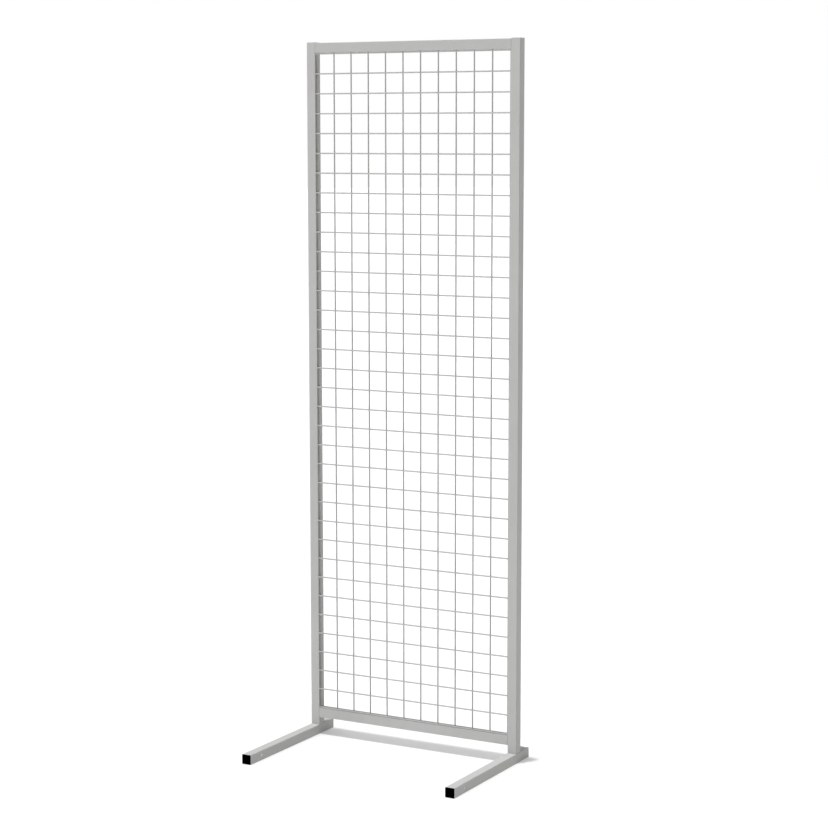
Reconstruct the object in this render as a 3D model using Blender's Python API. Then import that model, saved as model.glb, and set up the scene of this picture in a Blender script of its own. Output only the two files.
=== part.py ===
"""Free-standing wire-grid display panel on two foot bars.

A square-tube frame holds a welded mesh of round wires. Each post drops over a spigot that is
welded to a foot bar, so the panel lifts off its feet for transport.

Metres, +X to the right, +Y to the back, +Z up. The origin is on the floor, midway between the
feet and midway along their length. Every piece keeps a small gap to the pieces it touches.
"""
import math

import bpy
from mathutils import Vector

# ---- driving dimensions ------------------------------------------------------------------
GAP = 0.0003                 # clearance left between pieces that touch

TUBE_WIDTH = 0.025           # outer width of every square tube
TUBE_WALL = 0.002
TUBE_CORNER = 0.0015         # outer corner radius
BORE_CORNER = 0.0006         # inner corner radius

FRAME_TOP = 1.800            # floor to the upper ends of the posts, and to the top rail's top
OPENING_WIDTH = 0.555        # between the posts
OPENING_HEIGHT = 1.705       # between the rails

MESH_PITCH = 0.050           # between wire centres, both ways
MESH_COLUMNS = 11            # cells across
MESH_ROWS = 34               # cells up
WIRE_RADIUS = 0.00175
LOWEST_WIRE_CLEARANCE = 0.0005   # between the bottom rail and the lowest cross wire
UPRIGHT_WIRE_SETBACK = 0.006     # from the frame's front face to the upright wires' centres

FOOT_TUBE_LENGTH = 0.400
POST_CENTRE_Y = 0.1425       # the posts stand well behind the middle of the feet
CROSS_HOLE_RADIUS = 0.00175
CROSS_HOLE_FROM_END = 0.050  # from the front end of the foot's tube
COUNTERSINK_RADIUS = 0.0035  # at the face of the tube; the sides slope at 45 degrees
CUTTER_OVERHANG = 0.0005     # how far a cutter stands out of the face that it cuts

SPIGOT_WIDTH = 0.020         # square tube that slides up into the post
SPIGOT_CORNER = 0.0015
SPIGOT_HEIGHT = 0.060        # above the foot bar
SPIGOT_ROOT = 0.001          # how far it is let into the foot bar's top wall

FLANGE_HEIGHT = 0.0015       # from the end of a tube to the outer face of its cap or plug
FLANGE_CHAMFER = 0.0004
SKIRT_DEPTH = 0.012          # the part of a cap or plug that sits inside the tube
SKIRT_WALL = 0.0015

CORNER_STEPS = 3             # flats in a quarter-round corner
WIRE_SIDES = 12
HOLE_SIDES = 24
SMOOTH_ANGLE = math.radians(40)

# ---- worked out from the above -----------------------------------------------------------
TUBE_HALF = TUBE_WIDTH / 2
BORE_HALF = TUBE_HALF - TUBE_WALL

POST_BOTTOM = TUBE_WIDTH + GAP
TOP_RAIL_Z = FRAME_TOP - TUBE_HALF
BOTTOM_RAIL_Z = TOP_RAIL_Z - TUBE_WIDTH - OPENING_HEIGHT
BOTTOM_WIRE_Z = BOTTOM_RAIL_Z + TUBE_HALF + LOWEST_WIRE_CLEARANCE + WIRE_RADIUS
TOP_WIRE_Z = BOTTOM_WIRE_Z + MESH_ROWS * MESH_PITCH

EDGE_WIRE_X = MESH_COLUMNS * MESH_PITCH / 2
POST_CENTRE_X = OPENING_WIDTH / 2 + TUBE_HALF
RAIL_LENGTH = OPENING_WIDTH - 2 * GAP
CROSS_WIRE_LENGTH = RAIL_LENGTH
UPRIGHT_WIRE_LENGTH = OPENING_HEIGHT - 2 * GAP

UPRIGHT_WIRE_Y = POST_CENTRE_Y - TUBE_HALF + UPRIGHT_WIRE_SETBACK
CROSS_WIRE_Y = UPRIGHT_WIRE_Y - 2 * WIRE_RADIUS - GAP

CROSS_HOLE_Y = CROSS_HOLE_FROM_END - FOOT_TUBE_LENGTH / 2

# ---- directions that a piece's own +Z can be turned to --------------------------------------
ALONG_X = (0, math.radians(90), 0)
ALONG_Y = (math.radians(-90), 0, 0)
TOWARDS_FRONT = (math.radians(90), 0, 0)
UPWARDS = (0, 0, 0)


def clear_scene():
    """Remove every object that the file opened with."""
    for existing in list(bpy.data.objects):
        bpy.data.objects.remove(existing, do_unlink=True)


def make_material(name, colour, roughness, metallic):
    """A Principled material of one colour."""
    material = bpy.data.materials.new(name)
    material.use_nodes = True
    shader = material.node_tree.nodes["Principled BSDF"]
    shader.inputs["Base Color"].default_value = (*colour, 1.0)
    shader.inputs["Roughness"].default_value = roughness
    shader.inputs["Metallic"].default_value = metallic
    return material


def rounded_square(half, corner, height):
    """Outline of a square with round corners, anticlockwise from +X, at one height."""
    points = []
    for quarter in range(4):
        diagonal = math.radians(90 * quarter + 45)
        centre_x = math.copysign(half - corner, math.cos(diagonal))
        centre_y = math.copysign(half - corner, math.sin(diagonal))
        for step in range(CORNER_STEPS + 1):
            angle = math.radians(90 * (quarter + step / CORNER_STEPS))
            point_x = centre_x + corner * math.cos(angle)
            point_y = centre_y + corner * math.sin(angle)
            points.append((point_x, point_y, height))
    return points


def circle(radius, sides, height):
    """Outline of a regular polygon, anticlockwise from +X, at one height."""
    turns = [2 * math.pi * side / sides for side in range(sides)]
    return [(radius * math.cos(turn), radius * math.sin(turn), height) for turn in turns]


def skin_mesh(name, rings, is_ring_loop=False):
    """Mesh through a stack of outlines with equally many points.

    A loop of outlines joins its last to its first, as a tube does. Any other stack is closed
    with a flat face at each end.
    """
    count = len(rings[0])
    points = [point for ring in rings for point in ring]
    pairs = [(row, row + 1) for row in range(len(rings) - 1)]
    if is_ring_loop:
        pairs.append((len(rings) - 1, 0))
    faces = []
    for lower, upper in pairs:
        for index in range(count):
            following = (index + 1) % count
            faces.append((lower * count + index, lower * count + following,
                          upper * count + following, upper * count + index))
    if not is_ring_loop:
        last_row = (len(rings) - 1) * count
        faces.append(tuple(reversed(range(count))))
        faces.append(tuple(range(last_row, last_row + count)))
    mesh = bpy.data.meshes.new(name)
    mesh.from_pydata(points, [], faces)
    mesh.shade_smooth()
    mesh.set_sharp_from_angle(angle=SMOOTH_ANGLE)
    return mesh


def square_tube_mesh(name, length, half, wall, corner, bore_corner):
    """Open-ended square tube along +Z, from z = 0."""
    rings = [
        rounded_square(half, corner, 0.0),
        rounded_square(half, corner, length),
        rounded_square(half - wall, bore_corner, length),
        rounded_square(half - wall, bore_corner, 0.0),
    ]
    return skin_mesh(name, rings, is_ring_loop=True)


def frame_tube_mesh(name, length):
    """A length of the tube that the frame and the feet are made of."""
    return square_tube_mesh(name, length, TUBE_HALF, TUBE_WALL, TUBE_CORNER, BORE_CORNER)


def wire_mesh(name, length):
    """Straight round wire along +Z, from z = 0."""
    rings = [circle(WIRE_RADIUS, WIRE_SIDES, 0.0), circle(WIRE_RADIUS, WIRE_SIDES, length)]
    return skin_mesh(name, rings)


def cross_hole_mesh(name):
    """Cutter along +Z for a hole that is countersunk in both side faces, from z = 0."""
    slope_length = CUTTER_OVERHANG + COUNTERSINK_RADIUS - CROSS_HOLE_RADIUS
    full_length = TUBE_WIDTH + 2 * CUTTER_OVERHANG
    rings = [
        circle(COUNTERSINK_RADIUS + CUTTER_OVERHANG, HOLE_SIDES, 0.0),
        circle(CROSS_HOLE_RADIUS, HOLE_SIDES, slope_length),
        circle(CROSS_HOLE_RADIUS, HOLE_SIDES, full_length - slope_length),
        circle(COUNTERSINK_RADIUS + CUTTER_OVERHANG, HOLE_SIDES, full_length),
    ]
    return skin_mesh(name, rings)


def spigot_mesh(name):
    """Short square tube that a post drops over, from z = 0."""
    length = SPIGOT_ROOT + SPIGOT_HEIGHT
    return square_tube_mesh(name, length, SPIGOT_WIDTH / 2, TUBE_WALL, SPIGOT_CORNER, BORE_CORNER)


def tube_plug_mesh(name):
    """Push-in end plug. The tube ends at z = 0, the skirt hangs below and the flange lies above."""
    skirt_half = BORE_HALF - GAP
    hollow_half = skirt_half - SKIRT_WALL
    underside = GAP
    top = FLANGE_HEIGHT
    rings = [
        rounded_square(hollow_half, BORE_CORNER, underside),
        rounded_square(hollow_half, BORE_CORNER, -SKIRT_DEPTH),
        rounded_square(skirt_half, BORE_CORNER, -SKIRT_DEPTH),
        rounded_square(skirt_half, BORE_CORNER, underside),
        rounded_square(TUBE_HALF, TUBE_CORNER, underside),
        rounded_square(TUBE_HALF, TUBE_CORNER, top - FLANGE_CHAMFER),
        rounded_square(TUBE_HALF - FLANGE_CHAMFER, TUBE_CORNER, top),
    ]
    return skin_mesh(name, rings)


def add_piece(name, mesh, material, location, rotation=UPWARDS, parent=None):
    """Place one object. A parent's place is taken off, so location stays a world position."""
    piece = bpy.data.objects.new(name, mesh)
    bpy.context.scene.collection.objects.link(piece)
    piece.rotation_euler = rotation
    piece.location = Vector(location)
    if parent is not None:
        piece.parent = parent
        piece.location = Vector(location) - parent.location
    if material is not None and not mesh.materials:
        mesh.materials.append(material)
    return piece


def add_guide(name, mesh, location, rotation=UPWARDS, parent=None):
    """A shape that only serves a Boolean, and is left out of the part."""
    guide = add_piece(name, mesh, None, location, rotation, parent)
    guide.hide_render = True
    guide.display_type = "WIRE"
    return guide


def add_boolean(piece, guide, operation):
    """Cut or join the piece with a guide."""
    boolean = piece.modifiers.new(guide.name, "BOOLEAN")
    boolean.operation = operation
    boolean.solver = "EXACT"
    boolean.object = guide


def add_frame(powder_coat, cap_plastic):
    """Two posts with their caps, and the two rails that butt between them."""
    post_mesh = frame_tube_mesh("post", FRAME_TOP - POST_BOTTOM)
    rail_mesh = frame_tube_mesh("rail", RAIL_LENGTH)
    cap_mesh = tube_plug_mesh("post_cap")
    for side, sign in (("left", -1), ("right", 1)):
        post_x = sign * POST_CENTRE_X
        add_piece(f"post_{side}", post_mesh, powder_coat, (post_x, POST_CENTRE_Y, POST_BOTTOM))
        add_piece(f"post_cap_{side}", cap_mesh, cap_plastic, (post_x, POST_CENTRE_Y, FRAME_TOP))
    for end, rail_z in (("top", TOP_RAIL_Z), ("bottom", BOTTOM_RAIL_Z)):
        start = (-RAIL_LENGTH / 2, POST_CENTRE_Y, rail_z)
        add_piece(f"{end}_rail", rail_mesh, powder_coat, start, ALONG_X)


def add_mesh_wires(powder_coat):
    """The welded mesh: upright wires behind, cross wires in front, edge wires beside the frame."""
    upright_mesh = wire_mesh("upright_wire", UPRIGHT_WIRE_LENGTH)
    upright_bottom = BOTTOM_RAIL_Z + TUBE_HALF + GAP
    for column in range(MESH_COLUMNS + 1):
        wire_x = -EDGE_WIRE_X + column * MESH_PITCH
        foot_point = (wire_x, UPRIGHT_WIRE_Y, upright_bottom)
        add_piece(f"upright_wire_{column + 1:02d}", upright_mesh, powder_coat, foot_point)
    cross_mesh = wire_mesh("cross_wire", CROSS_WIRE_LENGTH)
    for row in range(MESH_ROWS + 1):
        wire_z = TOP_WIRE_Z - row * MESH_PITCH
        left_end = (-CROSS_WIRE_LENGTH / 2, CROSS_WIRE_Y, wire_z)
        add_piece(f"cross_wire_{row + 1:02d}", cross_mesh, powder_coat, left_end, ALONG_X)


def add_slide_axis(side, sign):
    """Empty at the foot of the line that a foot assembly is drawn off along."""
    axis = bpy.data.objects.new(f"{side}_foot_slide", None)
    bpy.context.scene.collection.objects.link(axis)
    axis.location = (sign * POST_CENTRE_X, POST_CENTRE_Y, 0.0)
    return axis


def add_foot(side, sign, powder_coat, plug_plastic):
    """Foot bar with its welded spigot and countersunk cross hole, and a plug in each end."""
    slide_axis = add_slide_axis(side, sign)
    foot_x = sign * POST_CENTRE_X
    front = (foot_x, -FOOT_TUBE_LENGTH / 2, TUBE_HALF)
    rear = (foot_x, FOOT_TUBE_LENGTH / 2, TUBE_HALF)

    bar_mesh = frame_tube_mesh(f"foot_{side}", FOOT_TUBE_LENGTH)
    bar = add_piece(f"foot_{side}", bar_mesh, powder_coat, front, ALONG_Y, slide_axis)

    hole_start = (foot_x - TUBE_HALF - CUTTER_OVERHANG, CROSS_HOLE_Y, TUBE_HALF)
    hole_mesh = cross_hole_mesh("cross_hole")
    hole = add_guide(f"cross_hole_{side}", hole_mesh, hole_start, ALONG_X, slide_axis)
    add_boolean(bar, hole, "DIFFERENCE")

    spigot_foot = (foot_x, POST_CENTRE_Y, TUBE_WIDTH - SPIGOT_ROOT)
    spigot = add_guide(f"spigot_{side}", spigot_mesh("spigot"), spigot_foot, UPWARDS, slide_axis)
    add_boolean(bar, spigot, "UNION")

    plug_mesh = tube_plug_mesh(f"foot_plug_{side}")
    add_piece(f"foot_plug_front_{side}", plug_mesh, plug_plastic, front, TOWARDS_FRONT, slide_axis)
    add_piece(f"foot_plug_rear_{side}", plug_mesh, plug_plastic, rear, ALONG_Y, slide_axis)


def build():
    """Model the whole part."""
    clear_scene()
    powder_coat = make_material("grey_powder_coat", (0.56, 0.56, 0.55), 0.50, 0.0)
    wire_coat = make_material("grey_wire_coat", (0.54, 0.54, 0.53), 0.50, 0.0)
    cap_plastic = make_material("grey_cap_plastic", (0.56, 0.56, 0.55), 0.55, 0.0)
    plug_plastic = make_material("black_plug_plastic", (0.012, 0.012, 0.012), 0.50, 0.0)
    add_frame(powder_coat, cap_plastic)
    add_mesh_wires(wire_coat)
    for side, sign in (("left", -1), ("right", 1)):
        add_foot(side, sign, powder_coat, plug_plastic)


build()
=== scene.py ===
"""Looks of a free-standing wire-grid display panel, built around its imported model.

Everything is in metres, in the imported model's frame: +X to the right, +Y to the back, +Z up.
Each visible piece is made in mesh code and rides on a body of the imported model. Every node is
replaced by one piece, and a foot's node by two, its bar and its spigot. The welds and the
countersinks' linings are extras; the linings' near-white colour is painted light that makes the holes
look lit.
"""

import math

import bpy
from mathutils import Matrix, Vector


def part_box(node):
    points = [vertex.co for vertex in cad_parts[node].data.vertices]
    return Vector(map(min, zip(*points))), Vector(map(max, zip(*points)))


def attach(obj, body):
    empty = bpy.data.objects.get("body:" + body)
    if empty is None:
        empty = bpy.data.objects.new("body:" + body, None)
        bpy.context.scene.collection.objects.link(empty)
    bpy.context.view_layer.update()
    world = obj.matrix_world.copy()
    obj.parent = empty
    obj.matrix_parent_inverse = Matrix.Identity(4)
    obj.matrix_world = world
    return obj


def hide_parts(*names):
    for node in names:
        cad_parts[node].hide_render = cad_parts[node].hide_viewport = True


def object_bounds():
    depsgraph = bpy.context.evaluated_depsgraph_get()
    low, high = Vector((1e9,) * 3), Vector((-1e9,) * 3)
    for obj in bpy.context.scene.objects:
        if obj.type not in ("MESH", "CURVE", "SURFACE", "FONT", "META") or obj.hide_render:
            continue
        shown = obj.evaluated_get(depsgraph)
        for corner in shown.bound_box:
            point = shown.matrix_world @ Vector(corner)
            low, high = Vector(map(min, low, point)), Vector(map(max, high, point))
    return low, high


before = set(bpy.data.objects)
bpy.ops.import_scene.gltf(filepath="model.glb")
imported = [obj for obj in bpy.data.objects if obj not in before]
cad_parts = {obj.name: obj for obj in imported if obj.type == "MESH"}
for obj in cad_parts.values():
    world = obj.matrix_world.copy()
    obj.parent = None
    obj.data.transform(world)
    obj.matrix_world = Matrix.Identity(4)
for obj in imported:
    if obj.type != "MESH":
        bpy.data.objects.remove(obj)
CAD_LOW, CAD_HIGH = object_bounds()

X_AXIS = Vector((1, 0, 0))
Y_AXIS = Vector((0, 1, 0))
Z_AXIS = Vector((0, 0, 1))
QUARTER_TURN = math.radians(90)

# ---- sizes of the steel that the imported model's boxes do not give -------------------------
TUBE_WALL = 0.002
TUBE_CORNER = 0.0015
BORE_CORNER = 0.0006
SPIGOT_HALF = 0.010
SPIGOT_CORNER = 0.0015
CROSS_HOLE_RADIUS = 0.00175
CROSS_HOLE_FROM_END = 0.050      # from the front end of the foot's tube
COUNTERSINK_RADIUS = 0.0035      # at the face of the tube; the sides slope at 45 degrees
TOUCH_GAP = 0.0003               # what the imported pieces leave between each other

# ---- fine shape of the tubes --------------------------------------------------------------
CORNER_STEPS = 8
EDGE_STEPS = 3
SUPPORT = 0.00015                # flat strip beside each rounding, which keeps the faces flat
SMALLEST_CORNER = 0.0002
TUBE_END_ROUND = 0.00035
BORE_END_ROUND = 0.0002
SPIGOT_END_ROUND = 0.0012
SINK = 0.0001                    # how far a welded piece runs into the steel it is welded to
SMOOTH_ANGLE = math.radians(40)

HOLE_SIDES = 48
CUTTER_OVERHANG = 0.001
LINING = 0.00005                 # thickness of the near-white skin in a countersink, painted light for a lit hole wall

# ---- end plugs: a flange outside the tube and a hollow skirt inside it --------------------
FLANGE_THICKNESS = 0.0015
FLANGE_EDGE_ROUND = 0.0005       # outer edge
FLANGE_BEVEL = 0.0002            # inner edge, against the tube
CROWN = 0.0002                   # rise of the flange's middle over its edge
CROWN_EDGE_DROP = 0.9            # share of the crown that is still missing just inside the edge
CROWN_SHOULDER = 0.72            # distance from the middle, as a share of the half-width
CROWN_SHOULDER_DROP = 0.3
CROWN_PLATEAU = 0.45
GATE_RADIUS = 0.0014             # round mark where the plastic was injected
GATE_FLOOR = 0.86                # radius of the mark's floor, as a share of the mark's
GATE_DEPTH = 0.00018
SKIRT_WALL = 0.0015
SKIRT_LEAD_IN = 0.0004           # how much the skirt narrows towards its end
SKIRT_LEAD_IN_LENGTH = 0.0012

# ---- wires and their resistance welds -----------------------------------------------------
WIRE_SIDES = 20
END_FLARE = 0.0007               # growth of a wire's radius where its end is welded
END_FLARE_REACH = 0.0010
END_STATIONS = (0.0, 0.0003, 0.0006, 0.0010, 0.0015, 0.0024)
WELD_REACH = 0.0010              # half-width of the squeezed-out metal at a crossing
WELD_FADE = 3                    # a weld counts up to this many reaches away
WELD_PENETRATION = 0.0005
WELD_STATIONS = (-2.4, -1.6, -1.0, -0.5, 0.0, 0.5, 1.0, 1.6, 2.4)    # in reaches
STATION_DIGITS = 6               # stations that are the same to a micrometre are one
CELLS_PER_RAIL_WELD = 2
CELLS_PER_POST_WELD = 3

# ---- fillet welds -------------------------------------------------------------------------
FILLET_LEG = 0.0019
FILLET_INSET = 0.0022            # between the end of the bead and the rail's edge
FILLET_STATIONS = 64
FILLET_PROFILE_STEPS = 7
FILLET_END_SIZE = 0.35           # as a share of the size in the middle
FILLET_TAPER = 1.2               # length of the tapered ends, in legs
FILLET_HOLLOW = 0.20             # how far the face sinks in, as a share of the leg
RIPPLE_PITCH = 0.0019
RIPPLE_HEIGHT = 0.07             # as a share of the leg
SPIGOT_WELD_LEG = 0.0004
SPIGOT_WELD_WAIST = 0.45         # middle of the face: this share of the leg out, the rest up


# ---- meshes ------------------------------------------------------------------------------
def square_ring(half, corner, height):
    """Square outline with round corners: points (x, y, height, edge), edge 1 on the roundings."""
    points = []
    for quarter in range(4):
        start = math.radians(90 * quarter)
        diagonal = start + math.radians(45)
        centre = Vector((math.copysign(half - corner, math.cos(diagonal)),
                         math.copysign(half - corner, math.sin(diagonal))))
        for step in range(CORNER_STEPS + 1):
            angle = start + QUARTER_TURN * step / CORNER_STEPS
            spot = centre + corner * Vector((math.cos(angle), math.sin(angle)))
            along = Vector((-math.sin(angle), math.cos(angle)))
            if step == 0:
                before = spot - SUPPORT * along
                points.append((before.x, before.y, height, 0.0))
            points.append((spot.x, spot.y, height, 1.0))
            if step == CORNER_STEPS:
                after = spot + SUPPORT * along
                points.append((after.x, after.y, height, 0.0))
    return points


def round_ring_like(ring, radius, height):
    """Circle whose points lie in the same directions as another ring's points."""
    points = []
    for x, y, _, _ in ring:
        angle = math.atan2(y, x)
        points.append((radius * math.cos(angle), radius * math.sin(angle), height, 0.0))
    return points


def rounded_end(half, corner, end, inward, radius):
    """Rings of a square section from its end face out to its side, over a small rounding."""
    rings = []
    for step in range(EDGE_STEPS + 1):
        turn = QUARTER_TURN * step / EDGE_STEPS
        inset = radius * (1 - math.sin(turn))
        height = end + inward * radius * (1 - math.cos(turn))
        rings.append(square_ring(half - inset, max(corner - inset, SMALLEST_CORNER), height))
    rings.append(square_ring(half, corner, end + inward * (radius + SUPPORT)))
    return rings


def skin(name, rings, place, is_loop=False):
    """Mesh through a stack of rings, moved by the matrix place. A stack that is no loop is capped."""
    count = len(rings[0])
    flat = [point for ring in rings for point in ring]
    pairs = [(row, row + 1) for row in range(len(rings) - 1)]
    if is_loop:
        pairs.append((len(rings) - 1, 0))
    faces = []
    for lower, upper in pairs:
        for index in range(count):
            following = (index + 1) % count
            faces.append((lower * count + index, lower * count + following,
                          upper * count + following, upper * count + index))
    if not is_loop:
        last = (len(rings) - 1) * count
        faces.append(tuple(reversed(range(count))))
        faces.append(tuple(range(last, last + count)))
    mesh = bpy.data.meshes.new(name)
    mesh.from_pydata([place @ Vector(point[:3]) for point in flat], [], faces)
    edge = mesh.attributes.new("edge", "FLOAT", "POINT")
    edge.data.foreach_set("value", [point[3] for point in flat])
    mesh.shade_smooth()
    mesh.set_sharp_from_angle(angle=SMOOTH_ANGLE)
    return mesh


def place_along(start, along, across):
    """Matrix that turns +Z to along and +X to across, and moves the origin to start."""
    turned = Matrix((across, along.cross(across), along)).transposed().to_4x4()
    return Matrix.Translation(start) @ turned


def tube_mesh(name, place, length, half, corner, end_round):
    """Open square tube from z = 0 to length, with its ends deburred."""
    bore = half - TUBE_WALL
    outside = rounded_end(half, corner, 0.0, 1, end_round)
    outside += reversed(rounded_end(half, corner, length, -1, end_round))
    inside = [
        square_ring(bore + BORE_END_ROUND, BORE_CORNER, length),
        square_ring(bore, BORE_CORNER, length - BORE_END_ROUND),
        square_ring(bore, BORE_CORNER, BORE_END_ROUND),
        square_ring(bore + BORE_END_ROUND, BORE_CORNER, 0.0),
    ]
    return skin(name, outside + inside, place, is_loop=True)


def add_piece(name, mesh, material, body, slot, *nodes):
    """Make the object, let it ride on its body and stand for its CAD nodes."""
    piece = bpy.data.objects.new(name, mesh)
    bpy.context.scene.collection.objects.link(piece)
    mesh.materials.clear()
    mesh.materials.append(material)
    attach(piece, body)
    if nodes:
        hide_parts(*nodes)
    return piece


def cut(piece, cutter_mesh):
    """Cut a mesh shape out of a piece, and keep only the result."""
    cutter = bpy.data.objects.new("cutter", cutter_mesh)
    bpy.context.scene.collection.objects.link(cutter)
    boolean = piece.modifiers.new("cut", "BOOLEAN")
    boolean.operation = "DIFFERENCE"
    boolean.solver = "EXACT"
    boolean.object = cutter
    bpy.context.view_layer.update()
    evaluated = piece.evaluated_get(bpy.context.evaluated_depsgraph_get())
    result = bpy.data.meshes.new_from_object(evaluated)
    piece.modifiers.clear()
    piece.data = result
    bpy.data.objects.remove(cutter)
    result.set_sharp_from_angle(angle=SMOOTH_ANGLE)


# ---- materials ---------------------------------------------------------------------------
# A noise's values crowd round one half. These are the spans that are stretched to a full range.
NARROW_SPAN = (0.35, 0.65)
WIDE_SPAN = (0.3, 0.7)

GRAIN_FINENESS = 6               # waves of a coat's grain to one of its orange peel
GRAIN_SHALLOWNESS = 4            # depth of its peel over that of its grain
PLASTIC_ROUGHNESS_SPREAD = 0.12


class Nodes:
    """Short-hand for one material's node tree."""

    def __init__(self, name):
        self.material = bpy.data.materials.new(name)
        self.material.use_nodes = True
        self.tree = self.material.node_tree
        self.shader = self.tree.nodes["Principled BSDF"]
        self.coordinates = self.tree.nodes.new("ShaderNodeTexCoord").outputs["Object"]

    def link(self, output, target):
        self.tree.links.new(output, target)

    def noise(self, waves, detail):
        """Noise over the piece's own coordinates, with so many waves per metre."""
        node = self.tree.nodes.new("ShaderNodeTexNoise")
        node.inputs["Scale"].default_value = waves
        node.inputs["Detail"].default_value = detail
        self.link(self.coordinates, node.inputs["Vector"])
        return node.outputs["Fac"]

    def attribute(self, name):
        node = self.tree.nodes.new("ShaderNodeAttribute")
        node.attribute_name = name
        return node.outputs["Fac"]

    def stretch(self, value, span, low, high):
        """Map a span of values to the range low..high, clamped."""
        node = self.tree.nodes.new("ShaderNodeMapRange")
        node.inputs["From Min"].default_value = span[0]
        node.inputs["From Max"].default_value = span[1]
        node.inputs["To Min"].default_value = low
        node.inputs["To Max"].default_value = high
        self.link(value, node.inputs["Value"])
        return node.outputs["Result"]

    def mix(self, share, first, second):
        """Colour from first to second; each is a colour or another node's output."""
        node = self.tree.nodes.new("ShaderNodeMix")
        node.data_type = "RGBA"
        self.link(share, node.inputs["Factor"])
        for key, colour in (("A", first), ("B", second)):
            socket = [s for s in node.inputs if s.name == key and s.type == "RGBA"][0]
            if isinstance(colour, tuple):
                socket.default_value = (*colour, 1.0)
            else:
                self.link(colour, socket)
        return [s for s in node.outputs if s.type == "RGBA"][0]

    def mottled(self, colour, waves, detail, span, depth):
        """The colour, made lighter and darker in patches by up to depth."""
        patches = self.stretch(self.noise(waves, detail), span, 0.0, 1.0)
        return self.mix(patches, tinted(colour, 1 - depth), tinted(colour, 1 + depth))

    def bump(self, height, strength, distance, under=None):
        """Normal for a height; under is the normal of the coarser relief below it."""
        node = self.tree.nodes.new("ShaderNodeBump")
        node.inputs["Strength"].default_value = strength
        node.inputs["Distance"].default_value = distance
        self.link(height, node.inputs["Height"])
        if under is not None:
            self.link(under, node.inputs["Normal"])
        return node.outputs["Normal"]


def tinted(colour, factor):
    """The colour made lighter or darker."""
    return tuple(channel * factor for channel in colour)


def powder_coat(name, colour, peel_waves, peel_depth):
    """Satin powder coat on steel: orange peel, fine grain, a faint mottle, lighter along edges."""
    nodes = Nodes(name)
    base = nodes.mottled(colour, waves=11.0, detail=3.0, span=NARROW_SPAN, depth=0.018)
    edge_share = nodes.stretch(nodes.attribute("edge"), (0.0, 1.0), low=0.0, high=0.5)
    base = nodes.mix(edge_share, base, tinted(colour, factor=1.05))
    nodes.link(base, nodes.shader.inputs["Base Color"])
    unevenness = nodes.noise(waves=160.0, detail=2.0)
    roughness = nodes.stretch(unevenness, WIDE_SPAN, low=0.44, high=0.56)
    nodes.link(roughness, nodes.shader.inputs["Roughness"])
    peel_height = nodes.noise(waves=peel_waves, detail=1.5)
    peel = nodes.bump(peel_height, strength=0.35, distance=peel_depth)
    grain_height = nodes.noise(waves=peel_waves * GRAIN_FINENESS, detail=1.0)
    grain = nodes.bump(grain_height, strength=0.18, distance=peel_depth / GRAIN_SHALLOWNESS,
                       under=peel)
    nodes.link(grain, nodes.shader.inputs["Normal"])
    nodes.shader.inputs["Specular IOR Level"].default_value = 0.42
    return nodes.material


def moulded_plastic(name, colour, lowest_roughness, specular):
    """Injection-moulded plastic with a fine spark-eroded grain."""
    nodes = Nodes(name)
    base = nodes.mottled(colour, waves=60.0, detail=2.0, span=NARROW_SPAN, depth=0.06)
    nodes.link(base, nodes.shader.inputs["Base Color"])
    unevenness = nodes.noise(waves=900.0, detail=1.0)
    roughness = nodes.stretch(unevenness, WIDE_SPAN, low=lowest_roughness,
                              high=lowest_roughness + PLASTIC_ROUGHNESS_SPREAD)
    nodes.link(roughness, nodes.shader.inputs["Roughness"])
    grain_height = nodes.noise(waves=2600.0, detail=2.0)
    grain = nodes.bump(grain_height, strength=0.30, distance=0.00005)
    nodes.link(grain, nodes.shader.inputs["Normal"])
    nodes.shader.inputs["Specular IOR Level"].default_value = specular
    return nodes.material


def turned_metal_with_painted_light(name, colour):
    """Bare metal with fine cutter marks, made near white: the brightness is painted light, a lit hole
    wall where the hole lies in shade.
    """
    nodes = Nodes(name)
    base = nodes.mottled(colour, waves=4200.0, detail=1.0, span=WIDE_SPAN, depth=0.05)
    nodes.link(base, nodes.shader.inputs["Base Color"])
    nodes.shader.inputs["Roughness"].default_value = 0.45
    return nodes.material


FRAME_GREY = (0.438, 0.438, 0.429)
# the wires carry the frame's coat; their darker grey is painted shade for their thin, shaded sides
WIRE_GREY_PAINTED_SHADE = (0.380, 0.380, 0.372)
# near-white colour of the countersink linings: painted light, far brighter than bare steel
LINING_PAINTED_LIGHT_WHITE = (0.98, 0.98, 0.97)
PLUG_BLACK = (0.0004, 0.0004, 0.0004)

FRAME_COAT = powder_coat("frame_powder_coat", FRAME_GREY, peel_waves=620.0, peel_depth=0.00007)
# wire coat: the frame's powder coat with painted shade darkening its grey
WIRE_COAT_PAINTED_SHADE = powder_coat("wire_powder_coat_painted_shade", WIRE_GREY_PAINTED_SHADE, peel_waves=900.0, peel_depth=0.00004)
# countersink lining: bare steel made near white, which is painted light
BARE_STEEL_AND_PAINTED_LIGHT = turned_metal_with_painted_light("bare_steel_and_painted_light", LINING_PAINTED_LIGHT_WHITE)
CAP_PLASTIC = moulded_plastic("grey_cap_plastic", FRAME_GREY, lowest_roughness=0.47, specular=0.40)
PLUG_PLASTIC = moulded_plastic("black_plug_plastic", PLUG_BLACK, lowest_roughness=0.65, specular=0.0)


# ---- frame -------------------------------------------------------------------------------
def middle(node):
    low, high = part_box(node)
    return (low + high) / 2


def tube_half(node):
    """Half the width of a straight tube, which is the smallest size of its box."""
    low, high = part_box(node)
    return min(high - low) / 2


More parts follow.
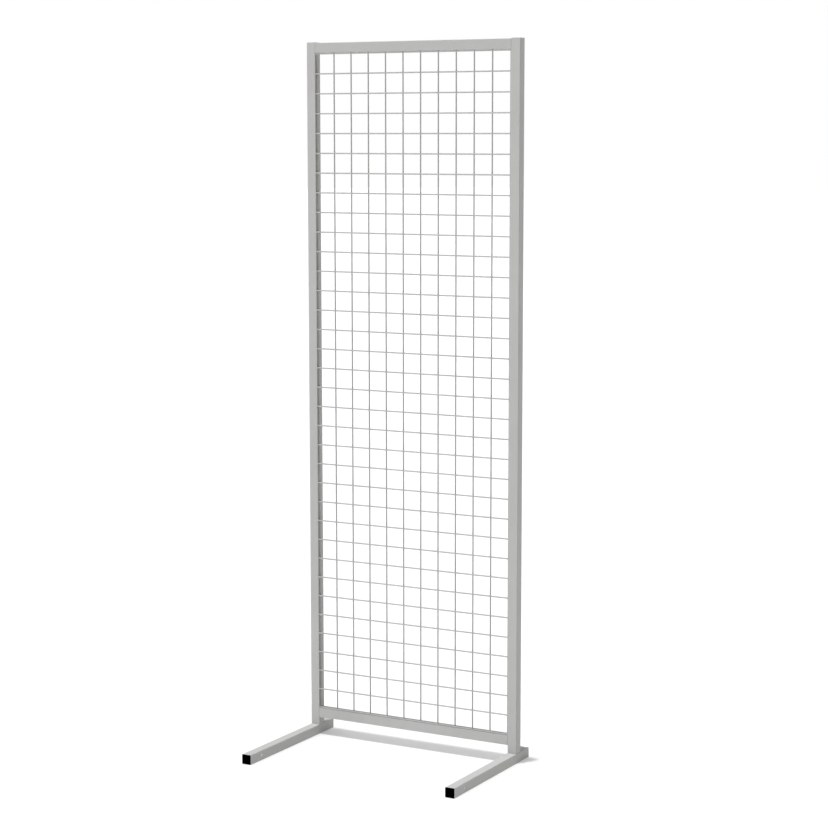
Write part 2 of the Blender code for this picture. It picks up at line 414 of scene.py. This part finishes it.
def add_post(side):
    """Full-height post. Its foot stays open, so that it can drop over the spigot."""
    node = f"post_{side}"
    low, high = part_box(node)
    start = Vector((middle(node).x, middle(node).y, low.z))
    place = place_along(start, Z_AXIS, X_AXIS)
    mesh = tube_mesh(f"{node}_tube", place, high.z - low.z, tube_half(node), TUBE_CORNER,
                     TUBE_END_ROUND)
    add_piece(f"{node}_tube", mesh, FRAME_COAT, "panel", "frame_coat", node)


def add_rail(end):
    """Rail that butts against both posts; its deburred ends leave a fine seam line."""
    node = f"{end}_rail"
    low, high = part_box(node)
    start = Vector((low.x - TOUCH_GAP, middle(node).y, middle(node).z))
    place = place_along(start, X_AXIS, Y_AXIS)
    length = high.x - low.x + 2 * TOUCH_GAP
    mesh = tube_mesh(f"{node}_tube", place, length, tube_half(node), TUBE_CORNER, TUBE_END_ROUND)
    add_piece(f"{node}_tube", mesh, FRAME_COAT, "panel", "frame_coat", node)


# ---- end plugs ---------------------------------------------------------------------------
def plug_mesh(name, place, half, skirt_length):
    """End plug: flange outside from z = 0, slightly crowned with a gate mark, skirt below."""
    skirt = half - TUBE_WALL - TOUCH_GAP
    hollow = skirt - SKIRT_WALL
    top = FLANGE_THICKNESS
    rings = [
        square_ring(hollow, BORE_CORNER, 0.0),
        square_ring(hollow, BORE_CORNER, -skirt_length),
        square_ring(skirt - SKIRT_LEAD_IN, BORE_CORNER, -skirt_length),
        square_ring(skirt, BORE_CORNER, -skirt_length + SKIRT_LEAD_IN_LENGTH),
        square_ring(skirt, BORE_CORNER, 0.0),
        square_ring(half - FLANGE_BEVEL, TUBE_CORNER - FLANGE_BEVEL, 0.0),
        square_ring(half, TUBE_CORNER, FLANGE_BEVEL),
    ]
    rings += reversed(rounded_end(half, TUBE_CORNER, top - CROWN, -1, FLANGE_EDGE_ROUND))
    plateau = square_ring(half * CROWN_PLATEAU, TUBE_CORNER, top)
    rings += [
        square_ring(half - FLANGE_EDGE_ROUND - SUPPORT, TUBE_CORNER - FLANGE_EDGE_ROUND,
                    top - CROWN * CROWN_EDGE_DROP),
        square_ring(half * CROWN_SHOULDER, TUBE_CORNER, top - CROWN * CROWN_SHOULDER_DROP),
        plateau,
        round_ring_like(plateau, GATE_RADIUS, top),
        round_ring_like(plateau, GATE_RADIUS * GATE_FLOOR, top - GATE_DEPTH),
    ]
    return skin(name, rings, place)


def width_across(low, high, along):
    """Size of a box at right angles to an axis."""
    size = high - low
    return max(size[axis] for axis in range(3) if along[axis] == 0)


def add_plug(node, outward, across, material, body, slot):
    """Plug whose flange lies at the outward end of its CAD node's box."""
    low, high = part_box(node)
    half = width_across(low, high, outward) / 2
    length = abs((high - low).dot(outward))
    face = middle(node) + outward * length / 2
    place = place_along(face - outward * FLANGE_THICKNESS, outward, across)
    mesh = plug_mesh(f"{node}_moulding", place, half, length - FLANGE_THICKNESS)
    add_piece(f"{node}_moulding", mesh, material, body, slot, node)


# ---- welded mesh -------------------------------------------------------------------------
def wire_mesh(name, start, along, across, length, radius, welds):
    """Round wire with flared, welded ends and a swelling at each weld.

    welds lists (distance along the wire, direction angle from across, height of the swelling).
    """
    stations = {round(s, STATION_DIGITS) for s in END_STATIONS}
    stations |= {round(length - s, STATION_DIGITS) for s in END_STATIONS}
    for distance, _, _ in welds:
        around = [distance + share * WELD_REACH for share in WELD_STATIONS]
        stations |= {round(s, STATION_DIGITS) for s in around}
    rings = []
    for station in sorted(s for s in stations if 0 <= s <= length):
        nearest_end = min(station, length - station)
        flare = math.exp(-(nearest_end / END_FLARE_REACH) ** 2)
        near = [w for w in welds if abs(w[0] - station) < WELD_FADE * WELD_REACH]
        ring = []
        for side in range(WIRE_SIDES):
            angle = 2 * math.pi * side / WIRE_SIDES
            swell = END_FLARE * flare
            pooled = flare
            for distance, direction, height in near:
                share = math.exp(-((station - distance) / WELD_REACH) ** 2)
                facing = max(0.0, math.cos(angle - direction))
                swell += height * share * facing ** 2
                pooled = max(pooled, share)
            reach = radius + swell
            ring.append((reach * math.cos(angle), reach * math.sin(angle), station, pooled))
        rings.append(ring)
    return skin(name, rings, place_along(start, along, across))


def cell_middles(lines):
    """Midway points between neighbouring wires."""
    return [(a + b) / 2 for a, b in zip(lines, lines[1:])]


def add_mesh_wires():
    """Every wire of the mesh. Cross wires carry the weld swellings towards the uprights behind,
    and the outermost wires carry a few more towards the rails and posts."""
    uprights = sorted(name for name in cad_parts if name.startswith("upright_wire_"))
    crosses = sorted(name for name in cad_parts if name.startswith("cross_wire_"))
    radius = (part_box(crosses[0])[1].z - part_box(crosses[0])[0].z) / 2
    reach = TOUCH_GAP + SINK
    swelling = TOUCH_GAP + WELD_PENETRATION
    towards_back = 0.0
    for number, node in enumerate(crosses):
        low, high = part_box(node)
        start = Vector((low.x - reach, middle(node).y, middle(node).z))
        length = high.x - low.x + 2 * reach
        columns = [middle(upright).x - start.x for upright in uprights]
        welds = [(column, towards_back, swelling) for column in columns]
        if number in (0, len(crosses) - 1):
            towards_rail = QUARTER_TURN if number == 0 else -QUARTER_TURN
            cells = cell_middles(columns)[::CELLS_PER_RAIL_WELD]
            welds += [(cell, towards_rail, swelling) for cell in cells]
        mesh = wire_mesh(f"{node}_coated", start, X_AXIS, Y_AXIS, length, radius, welds)
        add_piece(f"{node}_coated", mesh, WIRE_COAT_PAINTED_SHADE, "panel", "wire_coat", node)
    for number, node in enumerate(uprights):
        low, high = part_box(node)
        start = Vector((middle(node).x, middle(node).y, low.z - reach))
        length = high.z - low.z + 2 * reach
        welds = []
        if number in (0, len(uprights) - 1):
            towards_post = math.radians(180) if number == 0 else 0.0
            rows = sorted(middle(cross).z - start.z for cross in crosses)
            cells = cell_middles(rows)[::CELLS_PER_POST_WELD]
            welds = [(cell, towards_post, swelling) for cell in cells]
        mesh = wire_mesh(f"{node}_coated", start, Z_AXIS, X_AXIS, length, radius, welds)
        add_piece(f"{node}_coated", mesh, WIRE_COAT_PAINTED_SHADE, "panel", "wire_coat", node)


# ---- welds of the frame ------------------------------------------------------------------
def fillet_bead(name, start, along, length, first_face, second_face):
    """Rippled fillet weld in an inside corner. The two faces' outward normals point into the open."""
    rings = []
    for index in range(FILLET_STATIONS + 1):
        distance = length * index / FILLET_STATIONS
        from_end = min(distance, length - distance)
        growth = (1 - FILLET_END_SIZE) * from_end / (FILLET_TAPER * FILLET_LEG)
        taper = min(1.0, FILLET_END_SIZE + growth)
        ripple = 1 + RIPPLE_HEIGHT * abs(math.sin(math.pi * distance / RIPPLE_PITCH))
        size = FILLET_LEG * taper * ripple
        ring = [(-SINK, -SINK, distance, 1.0), (size, -SINK, distance, 1.0)]
        for step in range(FILLET_PROFILE_STEPS + 1):
            turn = QUARTER_TURN * step / FILLET_PROFILE_STEPS
            reach = size * (1 - FILLET_HOLLOW * math.sin(2 * turn))
            ring.append((reach * math.cos(turn), reach * math.sin(turn), distance, 1.0))
        ring.append((-SINK, size, distance, 1.0))
        rings.append(ring)
    place = Matrix((second_face, first_face, along)).transposed().to_4x4()
    mesh = skin(name, rings, Matrix.Translation(start) @ place)
    if place.to_3x3().determinant() < 0:
        mesh.flip_normals()
    return mesh


def add_frame_welds():
    """Fillet welds where the rails meet the inner faces of the posts: under the top rail, and
    above and below the bottom rail."""
    for side, sign in (("left", -1), ("right", 1)):
        inner_x = middle(f"post_{side}").x - sign * tube_half(f"post_{side}")
        for rail, face in (("top_rail", -1), ("bottom_rail", 1), ("bottom_rail", -1)):
            low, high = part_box(rail)
            z = high.z if face > 0 else low.z
            start = Vector((inner_x, low.y + FILLET_INSET, z))
            length = high.y - low.y - 2 * FILLET_INSET
            name = f"weld_{rail}_{side}_{'upper' if face > 0 else 'lower'}"
            mesh = fillet_bead(name, start, Y_AXIS, length, face * Z_AXIS, -sign * X_AXIS)
            add_piece(name, mesh, FRAME_COAT, "panel", "frame_coat")


# ---- feet --------------------------------------------------------------------------------
def turned_rings(profile):
    """Circles for a list of (distance along the axis, radius)."""
    turns = [2 * math.pi * side / HOLE_SIDES for side in range(HOLE_SIDES)]
    return [[(reach * math.cos(turn), reach * math.sin(turn), distance, 0.0) for turn in turns]
            for distance, reach in profile]


def hole_cutter_mesh(place, length):
    """Shape of the drilled hole with its two countersinks, between faces at z = 0 and length."""
    slope = COUNTERSINK_RADIUS - CROSS_HOLE_RADIUS
    profile = [
        (-CUTTER_OVERHANG, COUNTERSINK_RADIUS + CUTTER_OVERHANG),
        (slope, CROSS_HOLE_RADIUS),
        (length - slope, CROSS_HOLE_RADIUS),
        (length + CUTTER_OVERHANG, COUNTERSINK_RADIUS + CUTTER_OVERHANG),
    ]
    return skin("cutter", turned_rings(profile), place)


def countersink_mesh(name, place):
    """Turned cone that lines one countersink with a near-white skin of painted light; the tube's face
    is z = 0, the hole is above.
    """
    depth = COUNTERSINK_RADIUS - CROSS_HOLE_RADIUS
    profile = [
        (LINING, COUNTERSINK_RADIUS - LINING),
        (LINING, COUNTERSINK_RADIUS - 2 * LINING),
        (depth, CROSS_HOLE_RADIUS - LINING),
        (depth + LINING, CROSS_HOLE_RADIUS - LINING),
    ]
    return skin(name, turned_rings(profile), place, is_loop=True)


def spigot_weld_mesh(name, place):
    """Thin fillet round the spigot's root, small enough to clear the post's bore."""
    leg = SPIGOT_WELD_LEG
    waist = leg * SPIGOT_WELD_WAIST
    rings = [
        square_ring(SPIGOT_HALF - leg, SPIGOT_CORNER, -SINK),
        square_ring(SPIGOT_HALF + leg, SPIGOT_CORNER + leg, -SINK),
        square_ring(SPIGOT_HALF + leg, SPIGOT_CORNER + leg, SINK),
        square_ring(SPIGOT_HALF + waist, SPIGOT_CORNER + waist, leg * (1 - SPIGOT_WELD_WAIST)),
        square_ring(SPIGOT_HALF + SINK / 2, SPIGOT_CORNER, leg),
        square_ring(SPIGOT_HALF - leg, SPIGOT_CORNER, leg),
    ]
    return skin(name, rings, place, is_loop=True)


def add_foot(side):
    """Foot bar with its cross hole, and the spigot that is welded on top of it."""
    node = f"foot_{side}"
    body = f"{side}_foot"
    post = middle(f"post_{side}")
    low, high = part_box(node)
    width = high.x - low.x
    half = width / 2
    bar_top = low.z + width

    bar_place = place_along(Vector((post.x, low.y, low.z + half)), Y_AXIS, Z_AXIS)
    bar_mesh = tube_mesh(f"{node}_bar", bar_place, high.y - low.y, half, TUBE_CORNER, TUBE_END_ROUND)
    bar = add_piece(f"{node}_bar", bar_mesh, FRAME_COAT, body, "frame_coat", node)
    hole_spot = Vector((low.x, low.y + CROSS_HOLE_FROM_END, low.z + half))
    left_face = place_along(hole_spot, X_AXIS, Y_AXIS)
    right_face = place_along(hole_spot + width * X_AXIS, -X_AXIS, Y_AXIS)
    cut(bar, hole_cutter_mesh(left_face, width))
    # the countersinks' near-white linings are painted light that makes the hole look lit
    for face, place in (("left", left_face), ("right", right_face)):
        name = f"{node}_countersink_{face}"
        add_piece(name, countersink_mesh(name, place), BARE_STEEL_AND_PAINTED_LIGHT, body, "frame_coat")

    spigot_place = place_along(Vector((post.x, post.y, bar_top)), Z_AXIS, X_AXIS)
    spigot_mesh = tube_mesh(f"{node}_spigot", spigot_place, high.z - bar_top, SPIGOT_HALF,
                            SPIGOT_CORNER, SPIGOT_END_ROUND)
    add_piece(f"{node}_spigot", spigot_mesh, FRAME_COAT, body, "frame_coat", node)
    weld_mesh = spigot_weld_mesh(f"{node}_spigot_weld", spigot_place)
    add_piece(f"{node}_spigot_weld", weld_mesh, FRAME_COAT, body, "frame_coat")


# ---- surroundings ------------------------------------------------------------------------
WHITE = (1.0, 1.0, 1.0, 1.0)

FLOOR_RADIUS = 60.0
FLOOR_SIDES = 96
FLOOR_ALBEDO = 0.60
FLOOR_GLOW = 0.22                    # the floor is a pale sheet that is also lit from below

LAMP_STRENGTH = 2.26
LAMP_DIRECTION = Vector((0.016, 0.024, -1.0))
LAMP_ANGLE = math.radians(0.6)
LAMP_PLACE = (0, 0, 4)

AMBIENT = 0.02
BACKDROP = 1.0                       # white that the camera sees beyond the floor
# Soft sources fade with the cosine of the angle from their middle, to the power of narrowness.
OVERHEAD_GLOW = 2.35
OVERHEAD_NARROWNESS = 8.0
# soft boxes at the horizon: direction in degrees anticlockwise from +X, narrowness, brightness
SOFT_BOXES = (
    (210.0, 4.0, 4.35),              # front left
    (60.0, 4.0, 0.80),               # behind, to the right
)

CAMERA_PLACE = (2.661, -4.6316, 1.56885)
CAMERA_TILT = math.radians(82.276)   # from straight down
CAMERA_TURN = math.radians(28.799)   # anticlockwise from looking along +Y
CAMERA_LENS = 94.51                  # mm, with the sensor's width in mm too
CAMERA_SENSOR = 36.0
CAMERA_SHIFT = (-0.01439, 0.01901)
VIEW_DISTANCE = 200.0


def add_floor():
    """Plain pale studio floor, evenly lit from below as well."""
    turns = [2 * math.pi * side / FLOOR_SIDES for side in range(FLOOR_SIDES)]
    mesh = bpy.data.meshes.new("floor")
    height = CAD_LOW.z - SINK
    corners = [(FLOOR_RADIUS * math.cos(t), FLOOR_RADIUS * math.sin(t), height) for t in turns]
    mesh.from_pydata(corners, [], [tuple(range(FLOOR_SIDES))])
    nodes = Nodes("studio_floor")
    nodes.shader.inputs["Base Color"].default_value = (FLOOR_ALBEDO, FLOOR_ALBEDO, FLOOR_ALBEDO, 1.0)
    nodes.shader.inputs["Roughness"].default_value = 1.0
    nodes.shader.inputs["Specular IOR Level"].default_value = 0.0
    nodes.shader.inputs["Emission Color"].default_value = WHITE
    nodes.shader.inputs["Emission Strength"].default_value = FLOOR_GLOW
    mesh.materials.append(nodes.material)
    floor = bpy.data.objects.new("floor", mesh)
    bpy.context.scene.collection.objects.link(floor)


def add_lamp():
    """Lamp overhead, which makes the thin shadow under the panel."""
    lamp_data = bpy.data.lights.new("overhead_lamp", "SUN")
    lamp_data.energy = LAMP_STRENGTH
    lamp_data.angle = LAMP_ANGLE
    lamp = bpy.data.objects.new("overhead_lamp", lamp_data)
    lamp.rotation_euler = LAMP_DIRECTION.to_track_quat("-Z", "Y").to_euler()
    lamp.location = LAMP_PLACE
    bpy.context.scene.collection.objects.link(lamp)


def add_soft_light():
    """Soft source overhead and soft boxes at the horizon, none of which the camera sees."""
    world = bpy.data.worlds.new("studio")
    bpy.context.scene.world = world
    world.use_nodes = True
    tree = world.node_tree
    tree.nodes.clear()
    sky_direction = tree.nodes.new("ShaderNodeTexCoord").outputs["Generated"]

    def set_or_link(socket, value):
        if isinstance(value, float):
            socket.default_value = value
        else:
            tree.links.new(value, socket)

    def math_node(operation, first, second):
        node = tree.nodes.new("ShaderNodeMath")
        node.operation = operation
        set_or_link(node.inputs[0], first)
        set_or_link(node.inputs[1], second)
        return node.outputs["Value"]

    def background(strength):
        node = tree.nodes.new("ShaderNodeBackground")
        node.inputs["Color"].default_value = WHITE
        set_or_link(node.inputs["Strength"], strength)
        return node.outputs["Background"]

    sources = [(Z_AXIS, OVERHEAD_NARROWNESS, OVERHEAD_GLOW)]
    for bearing, narrowness, strength in SOFT_BOXES:
        turn = math.radians(bearing)
        sources.append((Vector((math.cos(turn), math.sin(turn), 0.0)), narrowness, strength))
    brightness = AMBIENT
    for direction, narrowness, strength in sources:
        facing = tree.nodes.new("ShaderNodeVectorMath")
        facing.operation = "DOT_PRODUCT"
        facing.inputs[1].default_value = direction
        tree.links.new(sky_direction, facing.inputs[0])
        shape = math_node("POWER", math_node("MAXIMUM", facing.outputs["Value"], 0.0), narrowness)
        brightness = math_node("ADD", brightness, math_node("MULTIPLY", shape, strength))
    seen = tree.nodes.new("ShaderNodeLightPath").outputs["Is Camera Ray"]
    mix = tree.nodes.new("ShaderNodeMixShader")
    tree.links.new(seen, mix.inputs["Fac"])
    tree.links.new(background(brightness), mix.inputs[1])
    tree.links.new(background(BACKDROP), mix.inputs[2])
    output = tree.nodes.new("ShaderNodeOutputWorld")
    tree.links.new(mix.outputs["Shader"], output.inputs["Surface"])


def add_camera():
    """Eye-level view from the front right, slightly downwards."""
    camera_data = bpy.data.cameras.new("camera")
    camera_data.sensor_width = CAMERA_SENSOR
    camera_data.lens = CAMERA_LENS
    camera_data.shift_x, camera_data.shift_y = CAMERA_SHIFT
    camera_data.clip_end = VIEW_DISTANCE
    camera = bpy.data.objects.new("camera", camera_data)
    camera.location = CAMERA_PLACE
    camera.rotation_euler = (CAMERA_TILT, 0.0, CAMERA_TURN)
    bpy.context.scene.collection.objects.link(camera)
    bpy.context.scene.camera = camera
    bpy.context.scene.view_settings.view_transform = "Standard"


add_camera()
add_lamp()
add_soft_light()
add_floor()
for side in ("left", "right"):
    add_post(side)
    add_plug(f"post_cap_{side}", Z_AXIS, X_AXIS, CAP_PLASTIC, "panel", "cap_plastic")
    add_foot(side)
    add_plug(f"foot_plug_front_{side}", -Y_AXIS, X_AXIS, PLUG_PLASTIC, f"{side}_foot", "plug_plastic")
    add_plug(f"foot_plug_rear_{side}", Y_AXIS, X_AXIS, PLUG_PLASTIC, f"{side}_foot", "plug_plastic")
for end in ("top", "bottom"):
    add_rail(end)
add_mesh_wires()
add_frame_welds()
